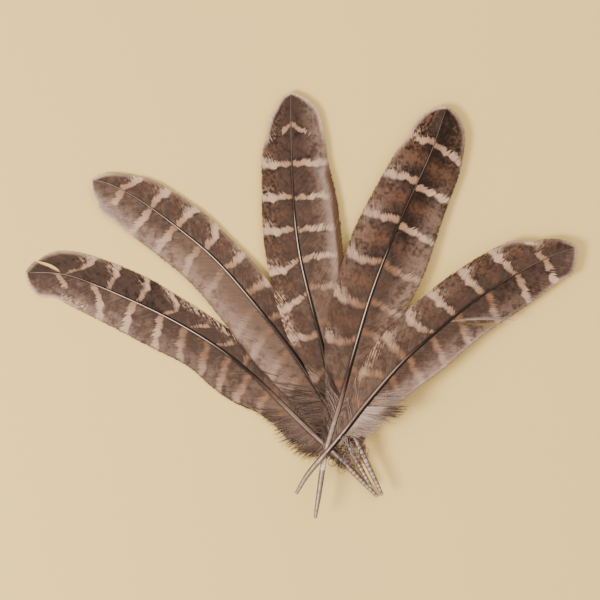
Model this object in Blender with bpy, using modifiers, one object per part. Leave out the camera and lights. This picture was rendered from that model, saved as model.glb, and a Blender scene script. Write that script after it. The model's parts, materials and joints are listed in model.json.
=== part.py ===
"""A fan of five barred wing quills, uncut, each lying on the one before it.

Every quill has a hollow shaft with dried pith in its barrel, a narrow leading vane, a broad
trailing vane and a tuft of down on each side where the vanes begin. The quills turn on one
upright axis where their barrels cross. Each quill keeps to its own level above the table, and
that level depends only on the distance from the axis, so a quill sweeps over its neighbours
without touching them.
"""

import math

import bmesh
import bpy
from mathutils import Vector

MM = 0.001
GAP = 0.3  # mm between neighbouring pieces

# Levels, all in mm: how deep one quill is at its barrel and at its tip, and how far out each is.
CROSSING = (13.4, -55.8)  # the fan's axis, which puts the fan's box around the origin
BARREL_DEPTH = 2.6
TIP_DEPTH = 0.8
BARREL_REACH = 12.0
TIP_REACH = 112.0

# Shaft, in mm: radii along the quill, measured from its lower end.
END_RADIUS = 0.8
BARREL_RADIUS = 1.25
BARREL_TAPER = 14.0
BARREL_LENGTH = 32.0
RACHIS_RADIUS = 1.05
RACHIS_LENGTH = 75.0
RACHIS_MIDDLE_RADIUS = 0.62
SHAFT_TIP_RADIUS = 0.2
SHAFT_SHORT_OF_TIP = 1.5
SHAFT_STEP = 4.0

# Barrel bore and pith, in mm.
BORE_MOUTH_RADIUS = 0.35
BORE_RADIUS = 0.9
BORE_MOUTH = 1.5
BORE_FULL = 6.0
BORE_LENGTH = 27.0
PITH_START = 5.0
PITH_LENGTH = 19.0
PITH_STEP = 1.2
PITH_RADII = (0.5, 0.3)

# Vanes and down, in mm.
VANE_THICKNESS = 0.3
DOWN_THICKNESS = 0.5
VANE_COLUMNS = 30
VANE_ROWS = 4
DOWN_COLUMNS = 6
VANE_RISE = 0.10  # above and below the quill's own middle, as shares of its depth
VANE_DROOP = 0.29

# Each quill, lowest first. shaft: points in mm from the crossing, lower end first.
# leading, trailing: (distance from the lower end, width beyond the shaft's middle) in mm.
# leading_side is 1 where the leading vane is on the left of the shaft, looking to the tip.
QUILLS = {
    "far_left": dict(
        leading_side=-1,
        shaft=[(18.3, -24.8), (9.7, -16.0), (1.3, -7.4), (-10.5, 3.4), (-19.7, 12.3), (-33.2, 25.6),
               (-47.9, 37.6), (-66.8, 49.1), (-87.8, 59.2), (-108.8, 67.6), (-119.3, 69.5), (-128.5, 69.7)],
        leading=[(48, 5.2), (62, 7), (80, 8), (100, 9), (118, 10), (131, 11.3), (148, 11.2),
                 (160, 10.4), (168, 8.8), (172, 7), (176, 4.4), (179, 2.2)],
        trailing=[(50, 8.5), (60, 10), (66, 12.6), (73, 14.6), (84, 15.4), (100, 14), (118, 14.8),
                  (145, 13.5), (160, 12), (166, 10.7), (172, 10.7), (175.4, 10.2), (177.5, 8.3),
                  (179, 5.6)],
        leading_down=[(31, 1.9), (36, 3.6), (44, 4.8), (47.5, 5)],
        trailing_down=[(31, 4.5), (36, 8), (44, 8.6), (49.5, 8.4)],
    ),
    "left": dict(
        leading_side=-1,
        shaft=[(15.4, -20.2), (7.6, -5.9), (0.8, 7.6), (-5.9, 19.3), (-18.5, 37.8), (-35.3, 59.0),
               (-50.0, 75.4), (-64.7, 87.8), (-81.5, 100.0), (-94.1, 106.7), (-101.2, 108.4)],
        leading=[(46, 5), (60, 7), (80, 9), (97, 10.8), (118, 10.7), (131, 11.7), (150, 10.8),
                 (158, 9.6), (162, 8.2), (168, 6.2), (172.5, 4.4), (176.5, 2.2), (178, 1)],
        trailing=[(42, 9), (50, 10.8), (60, 14), (72, 15.7), (90, 15.4), (115, 14.8), (150, 14.6),
                  (160, 13.9), (166, 13.3), (170.5, 12.3), (174, 10.3), (176.3, 7.5), (178, 3.4)],
        leading_down=[(26, 1.9), (32, 4), (40, 4.8), (45.5, 5)],
        trailing_down=[(24, 2.5), (29, 6), (36, 8.5), (41.5, 9)],
    ),
    "centre": dict(
        leading_side=1,
        shaft=[(20.1, -23.5), (9.8, -2.1), (4.6, 10.5), (-1.3, 24.4), (-5.7, 42.2), (-13.1, 71.4),
               (-16.0, 89.5), (-17.4, 108.4), (-18.1, 133.6), (-18.1, 144.9)],
        leading=[(44, 5.5), (55, 8), (64, 10), (70, 12), (80, 14), (110, 14.5), (140, 13.2),
                 (149, 12.8), (157, 10.7), (161, 9.8), (165, 8.5), (169, 6.4), (172.3, 4.5),
                 (174.6, 1.6)],
        trailing=[(44, 6.5), (60, 11), (75, 14), (90, 16.3), (108, 18.4), (120, 18.8), (132, 18.1),
                  (145, 15.6), (152, 14.6), (158, 13.6), (164, 12.3), (167.5, 11.2), (170.5, 9),
                  (173, 5.8), (174.6, 2.6)],
        leading_down=[(24, 1.9), (29, 4), (36, 5), (43.5, 5.3)],
        trailing_down=[(22, 1.9), (27, 4.6), (35, 5.8), (43.5, 6.2)],
    ),
    "right": dict(
        leading_side=1,
        shaft=[(-8.0, -32.8), (-6.3, -21.8), (-4.6, -10.1), (-2.9, -2.5), (2.5, 15.5), (7.6, 33.6),
               (15.1, 58.8), (23.5, 81.1), (31.5, 99.5), (40.3, 118.9), (47.0, 138.0)],
        leading=[(46, 5.5), (58, 9), (66, 11.5), (75, 14), (90, 15.4), (115, 16.7), (130, 16.1),
                 (145, 14.9), (155, 14), (160, 12.7), (163.5, 11.5), (168, 11.2), (172.5, 9.8),
                 (176.5, 7.6), (178.5, 5.7), (180, 3.2)],
        trailing=[(48, 7.2), (60, 11), (75, 13.4), (92, 15.6), (106, 17.6), (116, 18), (128, 17.2),
                  (145, 15.5), (156, 14.5), (160, 13.8), (164, 12.9), (168, 11.9), (172.3, 10.4),
                  (175.7, 8.4), (178.3, 5.8), (180, 3.2)],
        leading_down=[(30, 1.9), (36, 4), (42, 5), (45.5, 5.3)],
        trailing_down=[(30, 1.9), (36, 4.6), (42, 6), (47.5, 6.9)],
    ),
    "far_right": dict(
        leading_side=1,
        shaft=[(-16.0, -22.3), (-10.5, -13.4), (-0.8, -2.3), (6.0, 6.0), (14.7, 16.8), (28.8, 32.6),
               (43.8, 45.8), (56.7, 56.2), (71.6, 66.2), (89.3, 75.6), (101.2, 80.2)],
        leading=[(42, 7), (55, 11), (66, 13.2), (78, 14.5), (95, 15), (120, 14.5), (133, 13.8),
                 (137, 12.9), (140, 11.2), (143, 9), (146, 8.4), (150, 7), (153.5, 5.1), (156.5, 3),
                 (158.2, 1.1)],
        trailing=[(53, 10.4), (60, 11), (68, 12.3), (80, 13.7), (100, 13.8), (122, 14.2), (133, 13.4),
                  (140, 12.3), (145, 11.3), (149, 11.1), (152.5, 10.6), (154.7, 8.8), (156.6, 5.8),
                  (158.2, 2)],
        leading_down=[(28, 2), (34, 4.6), (41.5, 6.9)],
        trailing_down=[(33.5, 2.4), (36.5, 6.6), (40, 9.2), (46, 10.6), (52.5, 12.6)],
    ),
}

COLOURS = {
    "shaft": ((0.33, 0.24, 0.18), 0.35),
    "pith": ((0.62, 0.56, 0.48), 0.8),
    "leading_vane": ((0.11, 0.065, 0.045), 0.75),
    "trailing_vane": ((0.24, 0.17, 0.13), 0.75),
    "leading_down": ((0.30, 0.22, 0.17), 0.9),
    "trailing_down": ((0.40, 0.32, 0.27), 0.9),
}


# ---------- levels and curves ----------


def depth_at(reach):
    """How deep one quill's level is, in mm, at this distance from the crossing."""
    share = min(max((reach - BARREL_REACH) / (TIP_REACH - BARREL_REACH), 0.0), 1.0)
    return BARREL_DEPTH + (TIP_DEPTH - BARREL_DEPTH) * share * share * (3 - 2 * share)


def in_space(x, y, level, offset=0.0):
    """The point over (x, y), in mm from the crossing, offset by a share of the level's depth."""
    depth = depth_at(math.hypot(x, y))
    z = level * (depth + GAP) + depth * (0.5 + offset)
    return Vector((CROSSING[0] + x, CROSSING[1] + y, z)) * MM


def through(points, share):
    """A Catmull-Rom curve through the points, at a share from 0 to 1 of their number."""
    place = min(max(share, 0.0), 1.0) * (len(points) - 1)
    i = min(int(place), len(points) - 2)
    t = place - i
    near, far = Vector(points[i]), Vector(points[i + 1])
    before = Vector(points[i - 1]) if i > 0 else near * 2 - far
    after = Vector(points[i + 2]) if i + 2 < len(points) else far * 2 - near
    return 0.5 * (2 * near + (far - before) * t + (2 * before - 5 * near + 4 * far - after) * t**2
                  + (3 * near - before - 3 * far + after) * t**3)


class Route:
    """A shaft's line in plan, read by distance from the quill's lower end."""

    SAMPLES = 600

    def __init__(self, points):
        self.line = [through(points, i / self.SAMPLES) for i in range(self.SAMPLES + 1)]
        self.along = [0.0]
        for a, b in zip(self.line, self.line[1:]):
            self.along.append(self.along[-1] + (b - a).length)
        self.length = self.along[-1]

    def at(self, distance):
        distance = min(max(distance, 0.0), self.length)
        i = min(int(distance / self.length * self.SAMPLES), self.SAMPLES - 1)
        while i > 0 and self.along[i] > distance:
            i -= 1
        while i < self.SAMPLES - 1 and self.along[i + 1] < distance:
            i += 1
        t = (distance - self.along[i]) / (self.along[i + 1] - self.along[i])
        return self.line[i].lerp(self.line[i + 1], t)

    def heading(self, distance):
        span = 2.0
        return (self.at(min(distance + span, self.length)) - self.at(max(distance - span, 0.0))).normalized()

    def beside(self, distance, left):
        """The point this far to the shaft's left."""
        ahead = self.heading(distance)
        return self.at(distance) + Vector((-ahead.y, ahead.x)) * left


def between(stops, distance):
    """A smooth value through (distance, value) stops."""
    for (d0, v0), (d1, v1) in zip(stops, stops[1:]):
        if distance <= d1:
            t = min(max((distance - d0) / (d1 - d0), 0.0), 1.0)
            return v0 + (v1 - v0) * t * t * (3 - 2 * t)
    return stops[-1][1]


def outline(stops, distance):
    """An outline's width: a smooth curve through its stops."""
    i = 0
    while i < len(stops) - 2 and stops[i + 1][0] < distance:
        i += 1
    t = (distance - stops[i][0]) / (stops[i + 1][0] - stops[i][0])
    share = (i + min(max(t, 0.0), 1.0)) / (len(stops) - 1)
    return max(through(stops, share).y, stops[-1][1] * 0.5)


def shaft_radius(distance, length):
    return between([(0.0, END_RADIUS), (BARREL_TAPER, BARREL_RADIUS), (BARREL_LENGTH, BARREL_RADIUS * 0.96),
                    (BARREL_LENGTH + 14, RACHIS_RADIUS), (RACHIS_LENGTH, RACHIS_MIDDLE_RADIUS),
                    (length, SHAFT_TIP_RADIUS)], distance)


# ---------- Blender pieces ----------


def collection(name):
    made = bpy.data.collections.new(name)
    bpy.context.scene.collection.children.link(made)
    return made


def material(name, colour, roughness):
    made = bpy.data.materials.new(name)
    made.use_nodes = True
    shader = made.node_tree.nodes["Principled BSDF"]
    shader.inputs["Base Color"].default_value = (*colour, 1.0)
    shader.inputs["Roughness"].default_value = roughness
    return made


def rod(name, points, radii, group):
    """A solid rod through the points, with its own radius at each, as a mesh object."""
    curve = bpy.data.curves.new(name, "CURVE")
    curve.dimensions = "3D"
    curve.bevel_depth = MM
    curve.bevel_resolution = 2
    curve.use_fill_caps = True
    spline = curve.splines.new("POLY")
    spline.points.add(len(points) - 1)
    for target, point, radius in zip(spline.points, points, radii):
        target.co = (*point, 1.0)
        target.radius = radius
    draft = bpy.data.objects.new(name + "_curve", curve)
    bpy.context.scene.collection.objects.link(draft)
    bpy.context.view_layer.update()
    graph = bpy.context.evaluated_depsgraph_get()
    mesh = bpy.data.meshes.new_from_object(draft.evaluated_get(graph))
    welded = bmesh.new()
    welded.from_mesh(mesh)
    bmesh.ops.remove_doubles(welded, verts=welded.verts, dist=1e-6)
    bmesh.ops.recalc_face_normals(welded, faces=welded.faces)
    welded.to_mesh(mesh)
    welded.free()
    mesh.shade_smooth()
    mesh.set_sharp_from_angle(angle=math.radians(40))
    solid = bpy.data.objects.new(name, mesh)
    solid.matrix_world = draft.matrix_world
    bpy.data.objects.remove(draft)
    group.objects.link(solid)
    return solid


def steps(start, end, step):
    count = max(2, round((end - start) / step))
    return [start + (end - start) * i / count for i in range(count + 1)]


def shaft(name, route, level, group, cutters):
    """The barrel and the rachis, with the barrel's bore cut from its lower end."""
    end = route.length - SHAFT_SHORT_OF_TIP
    stations = steps(0.0, end, SHAFT_STEP)
    points = [in_space(*route.at(s), level) for s in stations]
    solid = rod(name, points, [shaft_radius(s, end) for s in stations], group)

    bore_stops = [(BORE_MOUTH, BORE_MOUTH_RADIUS), (BORE_FULL, BORE_RADIUS),
                  (BORE_LENGTH - 3, BORE_RADIUS), (BORE_LENGTH, BORE_MOUTH_RADIUS)]
    stations = steps(0.0, BORE_LENGTH, BORE_MOUTH)
    inner = [in_space(*route.at(s), level) for s in stations]
    outside = inner[0] + (inner[0] - inner[1]).normalized() * MM
    radii = [BORE_MOUTH_RADIUS] + [between(bore_stops, s) for s in stations]
    cutter = rod(name + "_bore", [outside] + inner, radii, cutters)
    cutter.hide_render = True
    cutter.display_type = "WIRE"
    cut = solid.modifiers.new("bore", "BOOLEAN")
    cut.operation = "DIFFERENCE"
    cut.solver = "EXACT"
    cut.object = cutter
    return solid


def pith(name, route, level, group):
    """The dried membrane in the barrel: a row of small cups, one in the next."""
    stations = steps(PITH_START, PITH_START + PITH_LENGTH, PITH_STEP)
    points = [in_space(*route.at(s), level) for s in stations]
    return rod(name, points, [PITH_RADII[i % 2] for i in range(len(stations))], group)


def vane(name, route, level, side, stops, thickness, columns, group):
    """A thin drooping sheet beside the shaft, from just off its surface to the outline."""
    start, end = stops[0][0], min(stops[-1][0], route.length)
    sheet = bmesh.new()
    bmesh.ops.create_grid(sheet, x_segments=columns, y_segments=VANE_ROWS, size=1.0)
    for vert in sheet.verts:
        along, across = (vert.co.x + 1) / 2, (vert.co.y + 1) / 2
        distance = start + (end - start) * along
        inner = shaft_radius(distance, route.length - SHAFT_SHORT_OF_TIP) + GAP
        width = max(outline(stops, distance), inner + GAP)
        spot = route.beside(distance, side * (inner + (width - inner) * across))
        vert.co = in_space(*spot, level, VANE_RISE - (VANE_RISE + VANE_DROOP) * across**1.6)
    mesh = bpy.data.meshes.new(name)
    sheet.to_mesh(mesh)
    sheet.free()
    mesh.shade_smooth()
    piece = bpy.data.objects.new(name, mesh)
    group.objects.link(piece)
    shell = piece.modifiers.new("thickness", "SOLIDIFY")
    shell.thickness = thickness * MM
    shell.offset = 0.0
    return piece


def quill(name, level, spec, group, cutters, materials):
    route = Route(spec["shaft"])
    pieces = {
        "shaft": shaft(name + "_shaft", route, level, group, cutters),
        "pith": pith(name + "_pith", route, level, group),
    }
    for half, side in (("leading", spec["leading_side"]), ("trailing", -spec["leading_side"])):
        for kind, thickness, columns in (("vane", VANE_THICKNESS, VANE_COLUMNS),
                                         ("down", DOWN_THICKNESS, DOWN_COLUMNS)):
            part = f"{half}_{kind}"
            stops = spec[half if kind == "vane" else part]
            pieces[part] = vane(f"{name}_{part}", route, level, side, stops, thickness, columns, group)

    axis = bpy.data.objects.new(name + "_axis", None)
    axis.location = (CROSSING[0] * MM, CROSSING[1] * MM, 0.0)
    group.objects.link(axis)
    bpy.context.view_layer.update()
    for part, piece in pieces.items():
        piece.data.materials.append(materials[part])
        piece.parent = axis
        piece.matrix_parent_inverse = axis.matrix_world.inverted()


def main():
    for old in list(bpy.data.objects):
        bpy.data.objects.remove(old)
    group = collection("quill_fan")
    cutters = collection("quill_fan_cutters")
    materials = {part: material(part, *look) for part, look in COLOURS.items()}
    for level, (name, spec) in enumerate(QUILLS.items()):
        quill(name, level, spec, group, cutters, materials)


main()
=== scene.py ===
"""The looks of the quill fan: shafts, barred webs of barbs, down and pith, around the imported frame."""

import json
import math
from collections import namedtuple

import bpy
import numpy as np
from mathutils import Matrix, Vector


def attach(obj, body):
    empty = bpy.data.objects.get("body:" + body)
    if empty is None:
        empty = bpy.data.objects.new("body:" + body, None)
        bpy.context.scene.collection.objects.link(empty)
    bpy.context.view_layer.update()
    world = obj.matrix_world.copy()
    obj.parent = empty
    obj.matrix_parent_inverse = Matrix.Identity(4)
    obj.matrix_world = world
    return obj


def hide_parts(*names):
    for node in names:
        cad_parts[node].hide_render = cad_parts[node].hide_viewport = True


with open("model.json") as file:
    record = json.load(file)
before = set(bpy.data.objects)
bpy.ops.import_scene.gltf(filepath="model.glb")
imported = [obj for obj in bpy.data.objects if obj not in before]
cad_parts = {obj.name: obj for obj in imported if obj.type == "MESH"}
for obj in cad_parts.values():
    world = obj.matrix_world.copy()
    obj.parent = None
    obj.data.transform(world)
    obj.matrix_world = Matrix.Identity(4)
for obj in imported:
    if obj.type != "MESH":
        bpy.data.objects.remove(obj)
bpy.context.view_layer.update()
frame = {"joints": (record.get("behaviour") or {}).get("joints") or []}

MM = 0.001

# The crossing and the levels, in mm, as in the CAD model.
CROSSING = tuple(v / MM for v in frame["joints"][0]["pos_m"][:2])
GAP = 0.3
BARREL_DEPTH = 2.6
TIP_DEPTH = 0.8
BARREL_REACH = 12.0
TIP_REACH = 112.0

# A shaft's radii, in mm, at distances from its lower end. Its rachis stretches with its length.
SHAFT_RADII = [(0, 0.66), (3, 0.84), (9, 1.08), (16, 1.2), (32, 1.2), (46, 1.06), (60, 0.92), (75, 0.76),
               (110, 0.56), (150, 0.34), (180, 0.15)]
STRETCH_FROM = 46.0
FULL_LENGTH = 180.0

# The shaft's own details, in mm: its end, its open mouth, where it turns square, and the pith in its bore.
SHAFT_SHORT_OF_TIP = 0.4
SHAFT_SIDES = 20
ROUNDED_END = (0.74, 0.88, 0.97)
MOUTH_RADIUS = 0.34
MOUTH_DEPTH = 2.0
SQUARE_FROM = (34, 60)
SQUARENESS = 0.08
GROOVE = 0.28
CUP_RADIUS = 0.72
CUP_LENGTH = 1.5
CUP_PITCH = 2.1
CUP_WALL = 0.05
CUP_SIDES = 12
PITH_START = 3.5
PITH_END = 25.0
THREAD_RADIUS = 0.09

# The web of barbs, in mm. WEB_LEAN is how far ahead a barb comes for each mm out, and how that grows.
WEB_START = 42.0
WIDEST_WEB = 24
BARB_PITCH = 0.42
PITCH_VARIES = (0.8, 1.2)
BARB_ROWS = 16
RIDGE = 0.045
WEB_THICKNESS = 0.12
WEB_RISE = 0.12
WEB_DROOP = 0.24
SHAFT_HOLD = 0.7
LEAST_BARB = 0.25
WEB_LEAN = {"leading": (1.0, 0.05), "trailing": (0.95, 0.022)}
TIP_CROWDING = 1.6
CROWDED_LENGTH = 36
FRAY_FROM = (0.6, 0.93)
FRAY_OVERLAP = (-0.16, -0.02)

# The pale bars: their waves, in mm, their width against the lists', how much it varies, and how sharply a
# short one ends. FAR stands in where there is no bar.
BAR_WAVE = 0.3
BAR_NARROWING = 0.8
BAR_UNEVEN = 0.22
BAR_CUT = 12.0
FAR = 99

# The down, in mm. Barbules are the fine hairs along each strand or curl: how many on one, and their length.
# BARBULE_ALONG is how far along its strand the material takes a barbule to be.
DOWN_START = 24.0
DOWN_OVERLAP = 0.3
SPLAY_END = 56.0
FLUFF_FRAYS = 22
FLUFF_ENDS = 10
TUFT_PITCH = 1.5
STRAND_POINTS = 12
STRAND_RADIUS = 0.06
STRAND_SIDES = 4
CURL_RADIUS = 0.2
CURL_SIDES = 5
BARBULE_RADII = (0.022, 0.0176, 0.0088)
BARBULE_SIDES = 3
BARBULE_ALONG = 0.7
STRAND_BARBULES = (16, 1.1)
CURL_BARBULES = (20, 0.7)
DARKNESS_VARIES = 0.45

# Each quill, lowest first, in mm: which side of the shaft its leading web is on, how plainly cells show in
# its barrel, where one flank of it is painted dark as shade, and its line, as points from the crossing.
# tone is how pale it is, and glint is a painted highlight, a bright line along it. Here and below, a list of
# pairs gives how strong a feature is at distances from the quill's lower end, and one number holds all along.
SHAFTS = {
    "far_left": dict(
        leading_side=-1, cells=0.8, lee=(60, 76),
        tone=[(0, 0.62), (27, 0.62), (50, 0.6), (60, 0.42), (70, 0.2), (78, 0.03), (110, 0.03), (135, 0.3),
              (155, 0.6), (165, 0.8), (180, 0.85)],
        glint=[(84, 0), (92, 0.3), (100, 0.7), (108, 0.9), (120, 1), (146, 1), (154, 0)],
        line=[(18.3, -24.8), (9.7, -16), (1.3, -7.4), (-10.5, 3.4), (-19.7, 12.3), (-33.2, 25.6),
              (-47.9, 37.6), (-66.8, 49.1), (-87.8, 59.2), (-108.8, 67.6), (-119.3, 69.5), (-128.5, 69.7)]),
    "left": dict(
        leading_side=-1, cells=0.8, lee=(36, 44),
        tone=[(0, 0.58), (30, 0.5), (36, 0.36), (44, 0.12), (60, 0.08), (110, 0.06), (135, 0.25), (155, 0.6),
              (165, 0.75), (178, 0.85)],
        glint=[(84, 0), (96, 0.6), (106, 0.9), (124, 1), (138, 0.8), (150, 0.3), (160, 0)],
        line=[(15.4, -20.2), (7.6, -5.9), (0.8, 7.6), (-5.9, 19.3), (-18.5, 37.8), (-35.3, 59), (-50, 75.4),
              (-64.7, 87.8), (-81.5, 100), (-94.1, 106.7), (-101.2, 108.4)]),
    "centre": dict(
        leading_side=1, cells=0.8, lee=(44, 60),
        tone=[(0, 0.58), (34, 0.5), (44, 0.22), (60, 0.14), (68, 0.02), (110, 0.02), (125, 0.18), (145, 0.4),
              (160, 0.6), (175, 0.7)], glint=[(80, 0), (90, 0.4), (98, 0.8), (108, 1), (120, 0.6), (126, 0)],
        line=[(20.1, -23.5), (9.8, -2.1), (4.6, 10.5), (-1.3, 24.4), (-5.7, 42.2), (-13.1, 71.4),
              (-16, 89.5), (-17.4, 108.4), (-18.1, 133.6), (-18.1, 144.9)]),
    "right": dict(
        leading_side=1, cells=0.15, lee=(46, 62),
        tone=[(0, 0.6), (20, 0.56), (21.2, 1.3), (24.4, 1.3), (26, 0.7), (40, 0.76), (46, 0.6), (54, 0.45),
              (62, 0.2), (70, 0.03), (110, 0.02), (125, 0.1), (140, 0.36), (155, 0.52), (180, 0.6)],
        glint=[(64, 0), (74, 0.5), (84, 0.85), (100, 0.8), (112, 0.4), (118, 0)],
        line=[(-8, -32.8), (-6.3, -21.8), (-4.6, -10.1), (-2.9, -2.5), (2.5, 15.5), (7.6, 33.6),
              (15.1, 58.8), (23.5, 81.1), (31.5, 99.5), (40.3, 118.9), (47, 138)]),
    "far_right": dict(
        leading_side=1, cells=0.1, lee=(16, 24),
        tone=[(0, 0.7), (18, 0.62), (24, 0.56), (40, 0.48), (60, 0.4), (74, 0.3), (84, 0.03), (100, 0.02),
              (118, 0.14), (130, 0.4), (145, 0.54), (158, 0.6)],
        glint=[(30, 0), (40, 0.1), (50, 0.3), (66, 0.35), (76, 0)],
        line=[(-16, -22.3), (-10.5, -13.4), (-0.8, -2.3), (6, 6), (14.7, 16.8), (28.8, 32.6), (43.8, 45.8),
              (56.7, 56.2), (71.6, 66.2), (89.3, 75.6), (101.2, 80.2)]),
}
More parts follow.
